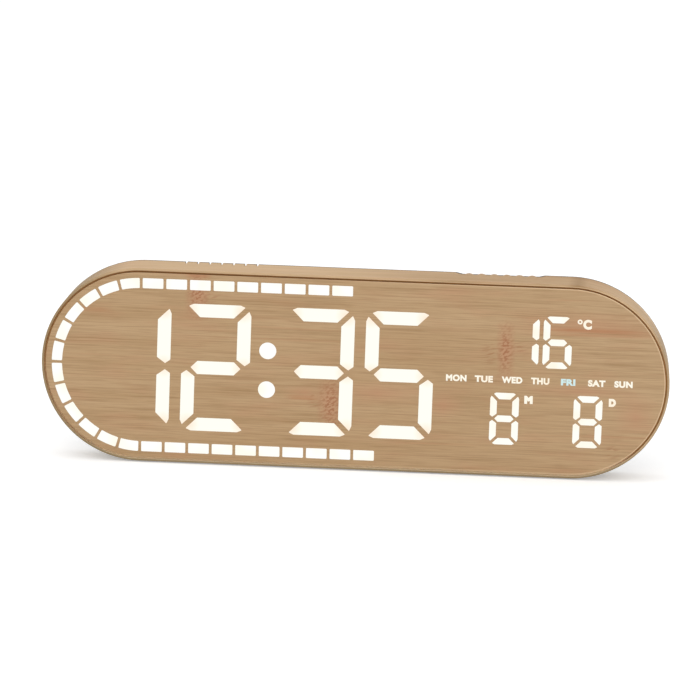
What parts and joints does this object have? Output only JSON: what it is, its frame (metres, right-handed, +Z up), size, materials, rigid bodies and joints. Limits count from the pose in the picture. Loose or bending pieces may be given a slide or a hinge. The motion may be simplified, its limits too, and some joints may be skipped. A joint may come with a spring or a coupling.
{
  "type": "led desk clock",
  "caption": "Slim capsule-shaped LED desk clock with a wood-look face, segment displays for time, temperature and date, a seconds ring, top buttons and swing-out rear feet.",
  "frame": {"origin": "bottom centre of the case, on the plane of the rubber pads' undersides", "axes": "+X to the right seen from the front, along the length; +Y to the back, through the depth; +Z up"},
  "size_m": [0.3799, 0.0234, 0.1208],
  "materials": {
    "frame_wood_film": "satin bamboo-look film over moulded plastic",
    "face_wood_film": "satin bamboo-look printed film",
    "cover_plastic": "fine-textured dark grey moulding",
    "plate_plastic": "smooth dark sheet",
    "lit_window": "translucent, lit from behind",
    "diffuser": "translucent sheet",
    "mask_plastic": "white moulding",
    "board": "solder mask",
    "led": "clear resin",
    "screw_steel": "zinc-plated",
    "pin_steel": "ground",
    "chip_epoxy": "moulded",
    "crystal_can": "plain",
    "sounder_plastic": "moulded",
    "sensor_epoxy": "dipped bead",
    "connector_plastic": "moulded",
    "socket_steel": "stamped shell",
    "pad_rubber": "matt",
    "switch_plastic": "moulded",
    "button_plastic": "satin tan moulding",
    "plunger_plastic": "moulded",
    "ribbon_sheath": "flat cable sheath",
    "cell_steel": "nickel-plated",
    "contact_metal": "spring strip"
  },
  "bodies": {
    "case": {"front_frame": "frame_wood_film", "rear_cover": "cover_plastic", "front_plate": "plate_plastic", "face_film": "face_wood_film", "time_digits": "lit_window", "colon_dots": "lit_window", "seconds_ring": "lit_window", "temperature_digits": "lit_window", "month_digit": "lit_window", "day_digit": "lit_window", "diffuser_sheet": "diffuser", "light_mask": "mask_plastic", "led_board": "board", "ring_leds": "led", "display_leds": "led", "board_screws": "screw_steel", "controller_chip": "chip_epoxy", "clock_crystal": "crystal_can", "sounder": "sounder_plastic", "temperature_sensor": "sensor_epoxy", "board_connector": "connector_plastic", "usb_socket": "socket_steel", "case_screws": "screw_steel", "button_switches": "switch_plastic", "button_board": "board", "ribbon_cable": "ribbon_sheath", "coin_cell": "cell_steel", "battery_contacts": "contact_metal", "hinge_pins": "pin_steel", "rubber_pads": "pad_rubber"},
    "button_1": {"button_cap_1": "button_plastic", "switch_plunger_1": "plunger_plastic"},
    "button_2": {"button_cap_2": "button_plastic", "switch_plunger_2": "plunger_plastic"},
    "button_3": {"button_cap_3": "button_plastic", "switch_plunger_3": "plunger_plastic"},
    "button_4": {"button_cap_4": "button_plastic", "switch_plunger_4": "plunger_plastic"},
    "button_5": {"button_cap_5": "button_plastic", "switch_plunger_5": "plunger_plastic"},
    "button_6": {"button_cap_6": "button_plastic", "switch_plunger_6": "plunger_plastic"},
    "foot_left": {"foot_left": "cover_plastic"},
    "foot_right": {"foot_right": "cover_plastic"},
    "battery_cap": {"battery_cap": "cover_plastic"}
  },
  "joints": [
    {"name": "button_1_press", "type": "slide", "parent": "case", "child": "button_1", "axis": [0, 0, -1], "range_m": [0, 0.0004], "stiffness_N_per_m": 800, "springref_m": -0.0005},
    {"name": "button_2_press", "type": "slide", "parent": "case", "child": "button_2", "axis": [0, 0, -1], "range_m": [0, 0.0004], "stiffness_N_per_m": 800, "springref_m": -0.0005},
    {"name": "button_3_press", "type": "slide", "parent": "case", "child": "button_3", "axis": [0, 0, -1], "range_m": [0, 0.0004], "stiffness_N_per_m": 800, "springref_m": -0.0005},
    {"name": "button_4_press", "type": "slide", "parent": "case", "child": "button_4", "axis": [0, 0, -1], "range_m": [0, 0.0004], "stiffness_N_per_m": 800, "springref_m": -0.0005},
    {"name": "button_5_press", "type": "slide", "parent": "case", "child": "button_5", "axis": [0, 0, -1], "range_m": [0, 0.0004], "stiffness_N_per_m": 800, "springref_m": -0.0005},
    {"name": "button_6_press", "type": "slide", "parent": "case", "child": "button_6", "axis": [0, 0, -1], "range_m": [0, 0.0004], "stiffness_N_per_m": 800, "springref_m": -0.0005},
    {"name": "foot_left_swing", "type": "hinge", "parent": "case", "child": "foot_left", "pos_m": [-0.112, 0.00885, 0.008], "axis": [0, 0, 1], "range_deg": [0, 90]},
    {"name": "foot_right_swing", "type": "hinge", "parent": "case", "child": "foot_right", "pos_m": [0.112, 0.00885, 0.008], "axis": [0, 0, -1], "range_deg": [0, 90]},
    {"name": "battery_cap_turn", "type": "hinge", "parent": "case", "child": "battery_cap", "pos_m": [-0.042, 0.011, 0.0388], "axis": [0, 1, 0], "range_deg": [0, 70]}
  ]
}
